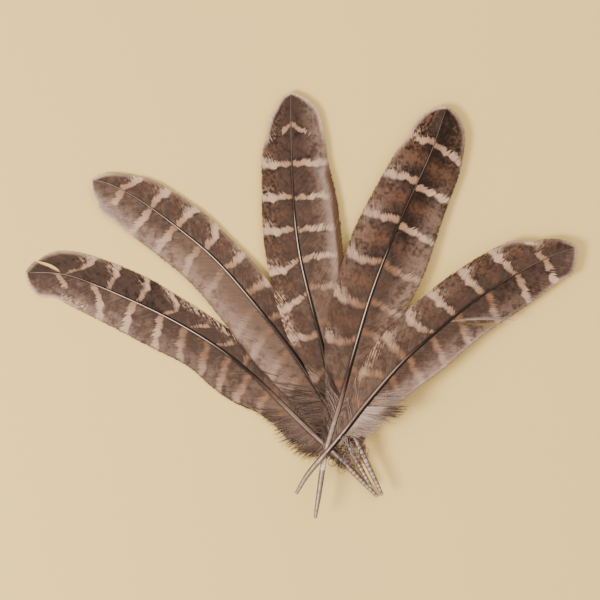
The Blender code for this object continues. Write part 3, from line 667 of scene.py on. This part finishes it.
def barbules(shape, paths, rng, each, length, darkness, tone):
    """Fine side hairs along strands, leaning forward on both sides."""
    count, points, _ = paths.shape
    place = rng.uniform(0.12, 0.98, (count, each)) * (points - 1)
    i = np.minimum(place.astype(int), points - 2)
    t = (place - i)[..., None]
    row = np.arange(count)[:, None]
    root = paths[row, i] * (1 - t) + paths[row, i + 1] * t
    ahead = paths[row, i + 1] - paths[row, i]
    angle = rng.uniform(0.5, 1.1, (count, each)) * rng.choice([-1, 1], (count, each))
    x = ahead[..., 0] * np.cos(angle) - ahead[..., 1] * np.sin(angle)
    y = ahead[..., 0] * np.sin(angle) + ahead[..., 1] * np.cos(angle)
    away = unit(np.stack([x, y, 0 * x], axis=-1))
    long = rng.uniform(0.5, 1.0, (count, each))[..., None] * length * MM
    sag = np.array([0, 0, -0.06 * MM])
    fine = np.stack([root, root + away * long * 0.5 + sag * 0.3, root + away * long + sag], axis=2)
    hairs(shape, fine.reshape(-1, 3, 3), BARBULE_RADII, BARBULE_SIDES, np.repeat(darkness, each),
          np.repeat(tone, each), BARBULE_ALONG)


def loose_strands(shape, quill, level, side, vane, tuft, rng):
    """Loose barbs that follow the web's lean, wave a little and end in a wisp past its edge."""
    route = quill["route"]
    width = outline(vane["edge"])
    count = tuft.strands
    t = np.linspace(0, 1, STRAND_POINTS)
    root = rng.uniform(tuft.first - 1, tuft.last, (count, 1))
    inner = shaft_radius(root, route.length) * 0.8
    splay = tuft.splay + (1 - tuft.splay) * smooth(DOWN_START, SPLAY_END, root)
    lean = tuft.lean * splay + rng.normal(0, tuft.stray, (count, 1))
    reach = width(root + lean * width(root + 3)) + rng.uniform(*tuft.proud, (count, 1))
    y = inner + np.maximum(reach - inner, 1.5) * t
    bend = rng.normal(0, 0.8 * tuft.stray, (count, 1)) * t**2 * reach
    wave = 0.22 * np.sin(t * rng.uniform(5, 11, (count, 1)) + rng.uniform(0, 6, (count, 1))) * t
    gather = (np.round(root / TUFT_PITCH) * TUFT_PITCH - root) * 0.85 * t**1.3
    x = root + y * lean + bend + wave + gather
    offset = 0.10 + rng.uniform(-0.10, 0.24, (count, 1)) * t - 0.10 * t
    paths = in_space(route.beside(x, side * y), level, offset)
    tone = rng.uniform(-1, 1, count)
    darkness = np.clip(tuft.dark + DARKNESS_VARIES * tone, 0, 1.2)
    radii = STRAND_RADIUS * tuft.coarse * (1 - 0.75 * t**1.5)
    radii = radii * (0.8 + 2.2 * rng.uniform(0, 1, (count, 1)) ** 3)
    hairs(shape, paths, radii, STRAND_SIDES, darkness, tone, t, tuft.ends)
    barbules(shape, paths, rng, *STRAND_BARBULES, darkness * 0.9, tone)


def curls(shape, route, level, curl, rng):
    """Short curled barbs round the top of the barrel."""
    at, count, side = curl.at, curl.count, curl.side
    t = np.linspace(0, 1, 2 * STRAND_POINTS)
    root = route.beside(rng.uniform(at - 3.5, at + 3.0, count), side * rng.uniform(0.3, 0.9, count))
    ahead = route.at(at + 2.0) - route.at(at - 2.0)
    heading = math.atan2(ahead[1], ahead[0]) + side * math.pi / 2 + rng.normal(0, 0.7, count)
    turning = rng.choice([-1, 1], count) * rng.uniform(2.5, 7.5, count)
    length = curl.reach * rng.uniform(0.45, 1.0, count)
    angle = heading[:, None] + turning[:, None] * t**1.4
    step = np.stack([np.cos(angle), np.sin(angle)], axis=-1) * (length / len(t))[:, None, None]
    plan = root[:, None] + np.cumsum(step, axis=1)
    offset = rng.uniform(0.05, 0.4, (count, 1)) + 0.15 * rng.uniform(0.2, 1, (count, 1)) * np.sin(t * 3)
    paths = in_space(plan, level, offset)
    tone = rng.uniform(-1, 1, count)
    darkness = curl.dark + DARKNESS_VARIES * tone
    hairs(shape, paths, CURL_RADIUS * (1 - 0.6 * t), CURL_SIDES, darkness, tone, t)
    barbules(shape, paths, rng, *CURL_BARBULES, np.full(count, curl.dark), tone)


def down(name, quill, level, half, side, seed):
    vane = quill[half]
    tufts = DOWN[name][half]
    sheet = tufts[0]
    rng = np.random.default_rng(seed)
    shape = Shape()

    def fluff(x, share):
        return {"darkness": sheet.dark * (1 - 0.3 * share), "along": share,
                "strand": 1 - smooth(sheet.last - FLUFF_ENDS, sheet.last, x)}

    lean, sweep = WEB_LEAN[half]
    look = dict(lean=lean, sweep=sweep, splay=sheet.splay, notch=1.2, uneven=0.06, tousle=0.8, slits=[],
                frays=FLUFF_FRAYS, fields=fluff)
    end = WEB_START + DOWN_OVERLAP
    barb_sheet(shape, quill["route"], level, side, vane, sheet.first, end, look, seed)
    for tuft in tufts:
        loose_strands(shape, quill, level, side, vane, tuft, rng)
    for curl in DOWN[name]["curls"]:
        if curl.side == side:
            curls(shape, quill["route"], level, curl, rng)
    return shape.build(f"{name}_{half}_fluff")


# ---------- the shaft and the pith ----------


def tube_on_route(quill, level, stations, across, up):
    """Rings round the shaft's line: across and up are (station, side) distances in mm from its middle."""
    route = quill["route"]
    wide = np.broadcast_to(np.asarray(stations)[:, None], across.shape)
    centre = in_space(route.at(wide), level, 0.0, up)
    plan = in_space(route.beside(wide, across), level, 0.0)
    return np.concatenate([plan[..., :2], centre[..., 2:]], axis=-1)


def shaft(name, quill, level):
    """The barrel, open at its lower end, and the rachis, squarer and grooved underneath."""
    length = quill["route"].length
    end = length - SHAFT_SHORT_OF_TIP
    stations = np.concatenate([[0.0, 0.12, 0.4], np.arange(1.0, end, 1.0), [end]])
    radius = shaft_radius(stations, length)
    radius[:3] *= ROUNDED_END
    stations = np.concatenate([[MOUTH_DEPTH, 0.3, 0.03], stations])
    radius = np.concatenate([[0.05, MOUTH_RADIUS, MOUTH_RADIUS], radius])
    turn = np.linspace(0, 2 * math.pi, SHAFT_SIDES, endpoint=False)
    web_part = smooth(*SQUARE_FROM, stations)[:, None]
    square = 1 - SQUARENESS * web_part * np.cos(4 * turn)
    groove = 1 - GROOVE * web_part * np.exp(-(((turn - 1.5 * math.pi) / 0.35) ** 2))
    uneven = 1 + 0.02 * np.sin(stations * 1.9)[:, None] * (1 - web_part)
    ring = radius[:, None] * square * groove * uneven
    up = ring * np.sin(turn) * (1 - 0.12 * web_part)
    verts = tube_on_route(quill, level, stations, ring * np.cos(turn), up)
    here = np.arange(len(verts) * SHAFT_SIDES).reshape(-1, SHAFT_SIDES)
    faces = [*ring_walls(here).tolist(), here[0].tolist(), here[-1, ::-1].tolist()]
    # One field marks where a flank of the rachis is painted dark as shade.
    fields = {"station": stations, "lee": smooth(*quill["lee"], stations)}
    fields.update({key: strength(quill[key], stations) for key in ("tone", "glint")})
    shape = Shape()
    shape.add(verts, faces, **{key: np.repeat(value, SHAFT_SIDES) for key, value in fields.items()},
              flank=np.tile(np.cos(turn), len(stations)), top=np.tile(np.sin(turn), len(stations)),
              cells=quill["cells"], seed=float(level))
    return shape.build(name + "_quill")


def pith(name, quill, level):
    """Dried cups of membrane, one behind another along the bore, on a thread."""
    shape = Shape()
    turn = np.linspace(0, 2 * math.pi, CUP_SIDES, endpoint=False)
    bend = np.linspace(0, math.pi / 2, 5)
    for start in np.arange(PITH_START + 1, PITH_END - CUP_LENGTH, CUP_PITCH):
        outer = np.stack([start + CUP_LENGTH * np.sin(bend), CUP_RADIUS * np.cos(bend) + 0.07], axis=1)
        inner = outer[::-1] - CUP_WALL
        inner[:, 1] = np.maximum(inner[:, 1], 0.04)
        profile = np.vstack([outer, inner])
        ring = np.repeat(profile[:, 1:], CUP_SIDES, axis=1)
        verts = tube_on_route(quill, level, profile[:, 0], ring * np.cos(turn), ring * np.sin(turn))
        here = np.arange(len(profile) * CUP_SIDES).reshape(-1, CUP_SIDES)
        shape.add(verts, ring_walls(np.vstack([here, here[:1]])).tolist())
    along = np.linspace(PITH_START, PITH_END, 24)
    thread = in_space(quill["route"].at(along), level, 0.0)[None]
    shape.add(*tubes(thread, THREAD_RADIUS, 6))
    return shape.build(name + "_pith_cups")


# ---------- materials ----------


class Value:
    """What one of a material's nodes gives. Numbers can be written with +, - and *."""

    def __init__(self, tree, socket):
        self.tree = tree
        self.socket = socket

    def __add__(self, other):
        return self.tree.math("ADD", self, other)

    def __sub__(self, other):
        return self.tree.math("SUBTRACT", self, other)

    def __mul__(self, other):
        return self.tree.math("MULTIPLY", self, other)

    def __abs__(self):
        return self.tree.math("ABSOLUTE", self)

    def about(self, swing):
        """A noise's difference from its middle, times swing."""
        return (self - 0.5) * swing

    def ramp(self, low, high, to_low=0.0, to_high=1.0):
        given = (self, low, high, to_low, to_high)
        return self.tree.node("ShaderNodeMapRange", given, interpolation_type="SMOOTHSTEP")


class Tree:
    """A short way to write a material's nodes."""

    def __init__(self, name):
        self.material = bpy.data.materials.new(name)
        self.material.use_nodes = True
        self.nodes = self.material.node_tree.nodes
        self.links = self.material.node_tree.links
        self.shader = self.nodes["Principled BSDF"]

    def put(self, socket, value):
        if isinstance(value, Value):
            self.links.new(value.socket, socket)
        else:
            socket.default_value = value

    def node(self, kind, given=(), output=0, **settings):
        """A new node's output. given is what its sockets get: by name or number, or in their order."""
        node = self.nodes.new(kind)
        for key, value in settings.items():
            setattr(node, key, value)
        for key, value in given.items() if isinstance(given, dict) else enumerate(given):
            self.put(node.inputs[key], value)
        return Value(self, node.outputs[output])

    def field(self, name):
        return self.node("ShaderNodeAttribute", output="Fac", attribute_name=name)

    def math(self, operation, a, b=0.0):
        return self.node("ShaderNodeMath", (a, b), operation=operation)

    def vector(self, x, y, z):
        return self.node("ShaderNodeCombineXYZ", (x, y, z))

    def noise(self, place, detail, scale=1.0):
        given = {"Vector": place, "Scale": scale, "Detail": detail}
        return self.node("ShaderNodeTexNoise", given, "Fac")

    def mix(self, share, a, b, blend="MIX"):
        """Two colours mixed. The node's colours go in at sockets 6 and 7, and come out at 2."""
        a, b = (colour if isinstance(colour, Value) else (*colour, 1.0) for colour in (a, b))
        given = {"Factor": share, 6: a, 7: b}
        return self.node("ShaderNodeMix", given, 2, data_type="RGBA", blend_type=blend)

    def shade(self, colour, value):
        return self.mix(1.0, colour, self.vector(value, value, value), "MULTIPLY")

    def bump(self, height, strength, distance):
        given = {"Height": height, "Strength": strength, "Distance": distance}
        self.put(self.shader.inputs["Normal"], self.node("ShaderNodeBump", given))

    def finish(self, colour, roughness, **constants):
        self.put(self.shader.inputs["Base Color"], colour)
        self.put(self.shader.inputs["Roughness"], roughness)
        for name, value in constants.items():
            self.shader.inputs[name.replace("_", " ")].default_value = value
        return self.material


def srgb(r, g, b):
    """A colour given in screen steps of 0 to 255."""
    return tuple(v / 255 / 12.92 if v < 10.3 else ((v / 255 + 0.055) / 1.055) ** 2.4 for v in (r, g, b))


DARKEST = srgb(35, 23, 16)
BROWN = srgb(76, 60, 53)
FAWN = srgb(112, 92, 80)
MAUVE = srgb(154, 130, 118)
LILAC = srgb(186, 165, 152)
CREAM = srgb(208, 178, 154)
WARM_CREAM = srgb(170, 136, 110)
RUFOUS = srgb(132, 96, 72)
FLECK = srgb(114, 80, 60)
WHITE = srgb(243, 213, 188)
RIM_CURL_AND_SHADE = srgb(60, 44, 34)
ROLLED_EDGE_SHADE = srgb(90, 66, 48)
DOWN_COLOURS = [srgb(188, 168, 156), srgb(112, 88, 74), srgb(38, 28, 24)]
DOWN_ENDS = srgb(190, 168, 152)
SHAFT_COLOURS = [srgb(24, 16, 13), srgb(84, 62, 52), srgb(146, 126, 116), srgb(250, 238, 226)]
CELL_COLOURS = [srgb(122, 102, 96), srgb(204, 188, 182)]
FLANK_SHADE = srgb(48, 35, 30)
RIDGE_HIGHLIGHT = srgb(232, 216, 204)
SHADED_FLANK_COLOUR = srgb(22, 15, 12)
GLINT = srgb(252, 236, 218)
PITH_COLOURS = [srgb(170, 148, 128), srgb(222, 208, 192)]
FLOOR = srgb(255, 228, 150)


def web_colour(t):
    """The barred pattern of a web, with its fine streaks and its patches."""
    lateral, tone = t.field("lateral"), t.field("tone")

    def noise(place, along, across, shift, detail):
        return t.noise(t.vector(t.field(place) * along, lateral * across, t.field("seed") + shift), detail)

    streaks = noise("root", 2.4, 0.20, 0.1, 3.0)
    fingers = noise("root", 1.4, 0.16, 0.3, 1.0)
    patches = noise("distance", 0.34, 0.34, 0.5, 3.0)
    blots = noise("distance", 0.62, 0.62, 0.9, 2.0)
    specks = noise("distance", 0.8, 0.8, 0.7, 2.0)

    # A bar's edge steps from barb to barb and wanders a little.
    edge = t.field("bar") + tone * 0.10 + fingers.about(5.0) * (t.field("above") + 0.2) + blots.about(1.5)
    blur = t.field("rust") * 0.8 + 0.5
    flames = (specks.about(0.7) + fingers.about(1.0) + 0.5).ramp(0.50, 0.60)
    inside = t.math("MAXIMUM", edge.ramp(blur * -1.0, blur, 1.0, 0.0), t.field("hook") * flames)
    inside = inside * t.field("contrast")

    mottle = patches.about(0.9) + blots.about(0.35) + streaks.about(0.3)
    light = t.field("light") + (mottle + tone * 0.04) + specks.about(2.2) * t.field("fleck")
    light = light - edge.ramp(0.0, 1.6, 0.14, 0.0)
    dark = t.mix(light.ramp(0.0, 0.5), DARKEST, BROWN)
    dark = t.mix(light.ramp(0.5, 1.0), dark, FAWN)
    dark = t.mix(t.field("band") * blots.ramp(0.30, 0.62, 0.25, 0.9), dark, FLECK)
    dark = t.mix(t.field("fleck") * specks.ramp(0.46, 0.62), dark, FLECK)
    pale = t.mix(lateral.ramp(1.0, 9.0), WARM_CREAM, CREAM)
    pale = t.mix(t.field("rust") * patches.ramp(0.30, 0.60, 0.5, 1.0), pale, RUFOUS)

    fade = t.field("fade") * (patches + blots.about(0.5)).ramp(0.32, 0.62, 0.25, 1.0)
    colour = t.mix(inside, t.mix(fade, dark, MAUVE), t.mix(fade * 0.8, pale, LILAC))
    colour = t.mix(t.field("pale") * 0.7, colour, LILAC)
    colour = t.mix(t.field("fringe") * streaks.ramp(0.3, 0.6, 0.55, 1.0), colour, WHITE)
    # The strip that curls under, painted darker: its own colour and painted shade of the curl.
    colour = t.mix(t.field("rolled"), colour, ROLLED_EDGE_SHADE)
    # The dark rim: partly a curled margin, partly painted shade along the edge.
    colour = t.mix(t.field("rim") * 0.9, colour, RIM_CURL_AND_SHADE)
    return t.shade(colour, tone * 0.05 + streaks.ramp(0.2, 0.8, 0.84, 1.14)), streaks, patches


def web_material():
    t = Tree("barred_web")
    colour, streaks, patches = web_colour(t)
    t.bump(streaks, 0.35, 0.0002)
    return t.finish(colour, patches.ramp(0.3, 0.7, 0.55, 0.72), Specular_IOR_Level=0.15, Sheen_Weight=0.04)


def down_material():
    """Loose pale or dark barbs, which take on the web's pattern where the web begins."""
    t = Tree("down")
    darkness = t.field("darkness")
    pale, brown, dark = DOWN_COLOURS
    fluff = t.mix(darkness.ramp(0.05, 0.6), pale, brown)
    fluff = t.mix(darkness.ramp(0.6, 1.1), fluff, dark)
    ends = t.field("along").ramp(0.45, 1.0, 0.0, 0.35) * darkness.ramp(0.3, 0.7, 1.0, 0.0)
    fluff = t.mix(ends, fluff, DOWN_ENDS)
    fluff = t.shade(fluff, t.field("tone") * 0.28 + 1.0)
    pattern_colour, streaks, _ = web_colour(t)
    colour = t.mix(t.field("strand"), pattern_colour, fluff)
    t.bump(streaks, 0.3, 0.0002)
    return t.finish(colour, streaks.ramp(0.3, 0.7, 0.7, 0.9), Specular_IOR_Level=0.2, Sheen_Weight=0.2)


def shaft_material():
    """Keratin from cream to near black: cells show through the barrel, with painted shade and a painted
    glint.
    """
    t = Tree("quill_shaft")
    station, flank, seed = t.field("station"), t.field("flank"), t.field("seed")
    grain = t.noise(t.vector(station * 0.5, flank * 2.0, seed), 3.0)
    tone = t.field("tone") + grain.about(0.25)
    darkest, dark, pale, palest = SHAFT_COLOURS
    colour = t.mix(tone.ramp(0.0, 0.35), darkest, dark)
    colour = t.mix(tone.ramp(0.3, 0.7), colour, pale)
    colour = t.mix(tone.ramp(0.66, 1.1), colour, palest)

    # Pale cells on the barrel's top, between its flanks, which are painted darker as shade.
    uneven = t.noise(t.vector(station * 0.55, 2.0, seed), 1.0)
    cells = t.math("SINE", station * 3.2 + uneven.about(10.0))
    shown = t.field("cells") * station.ramp(26.0, 22.0)
    cell = t.mix(cells.ramp(-0.6, 0.8), *CELL_COLOURS)
    colour = t.mix(shown * t.field("top").ramp(0.55, 0.95, 0.15, 1.0), colour, cell)
    # Painted shade: both flanks darken where the tube turns away from above, as shade and outline.
    colour = t.mix(abs(flank).ramp(0.5, 0.92) * 0.8, colour, FLANK_SHADE)
    # A painted highlight: a pale line along the barrel's top, weaker where its cells show.
    ridge = abs(flank - 0.15).ramp(0.35, 0.05) * station.ramp(40.0, 30.0) * shown.ramp(0.0, 0.8, 1.0, 0.4)
    colour = t.mix(ridge * grain.ramp(0.35, 0.6, 0.25, 0.85), colour, RIDGE_HIGHLIGHT)
    # Painted shade: one flank of the rachis darkens, as if in shadow from the lamp.
    colour = t.mix(flank.ramp(0.2, -0.2) * t.field("lee"), colour, SHADED_FLANK_COLOUR)
    # A painted highlight: the glint, a bright strip along one flank of the rachis.
    glint_strip = flank.ramp(0.25, 0.4) * flank.ramp(0.85, 0.6)
    colour = t.mix(glint_strip * t.field("glint"), colour, GLINT)
    colour = t.shade(colour, grain.ramp(0.2, 0.8, 0.88, 1.10))
    t.bump(grain, 0.3, 0.0001)
    rough = station.ramp(80.0, 140.0, 0.35, 0.5)
    return t.finish(colour, rough, Specular_IOR_Level=0.22, Coat_Weight=0.06, Coat_Roughness=0.3)


def pith_material():
    t = Tree("pith")
    grain = t.noise(t.node("ShaderNodeTexCoord", output="Object"), 3.0, scale=2500.0)
    colour = t.mix(grain, *PITH_COLOURS)
    t.bump(grain, 0.4, 0.0001)
    return t.finish(colour, grain.ramp(0.3, 0.7, 0.75, 0.95))


# ---------- the quills ----------


def dress(piece, material, slot, body, *nodes):
    piece.data.materials.append(material)
    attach(piece, body)
    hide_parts(*nodes)


def make_quill(name, level, materials):
    quill = {**SHAFTS[name], "route": Route(SHAFTS[name]["line"])}
    dress(shaft(name, quill, level), materials["shaft"], "shaft", name, name + "_shaft")
    dress(pith(name, quill, level), materials["pith"], "pith", name, name + "_pith")
    for order, half in enumerate(("leading", "trailing")):
        quill[half] = {**PLAIN_WEB, **WEBS[f"{name}_{half}"]}
        side = quill["leading_side"] * (-1) ** order
        given = (name, quill, level, half, side, 10 * level + order)
        dress(web(*given), materials["web"], half + "_vane", name, f"{name}_{half}_vane")
        dress(down(*given), materials["down"], "down", name, f"{name}_{half}_down")


# ---------- floor, light and camera ----------


def floor():
    half = 1.5
    corners = [(-half, -half, 0), (half, -half, 0), (half, half, 0), (-half, half, 0)]
    mesh = bpy.data.meshes.new("floor")
    mesh.from_pydata(corners, [], [(0, 1, 2, 3)])
    plane = in_scene("floor", mesh)
    mesh.materials.append(Tree("floor").finish((*FLOOR, 1.0), 0.9, Specular_IOR_Level=0.1))


def light(name, place, size, watts, colour):
    """A square lamp that shines at the frame's origin."""
    lamp = bpy.data.lights.new(name, "AREA")
    lamp.size = size
    lamp.energy = watts
    lamp.color = colour
    made = in_scene(name, lamp)
    made.location = place
    made.rotation_euler = (-Vector(place)).to_track_quat("-Z", "Y").to_euler()


def studio():
    warm = (1.0, 0.87, 0.76)
    light("key", (-0.75, -0.30, 0.75), 0.35, 14.0, warm)
    light("fill", (0.5, 0.6, 0.9), 0.9, 4.5, warm)
    world = bpy.data.worlds.new("studio")
    world.use_nodes = True
    background = world.node_tree.nodes["Background"].inputs
    background["Color"].default_value = (*warm, 1.0)
    background["Strength"].default_value = 0.85
    bpy.context.scene.world = world


def camera():
    """Straight down, from far enough that the fan shows little perspective."""
    lens = bpy.data.cameras.new("camera")
    lens.lens = 100.0
    lens.sensor_width = 36.0
    lens.clip_end = 10.0
    made = in_scene("camera", lens)
    view_width = 0.252
    height = view_width * lens.lens / lens.sensor_width
    made.location = (-0.0009, 0.0022, height + 0.0026)
    bpy.context.scene.camera = made


def main():
    camera()
    studio()
    floor()
    materials = {"web": web_material(), "shaft": shaft_material(), "down": down_material(),
                 "pith": pith_material()}
    for level, name in enumerate(SHAFTS):
        make_quill(name, level, materials)


main()
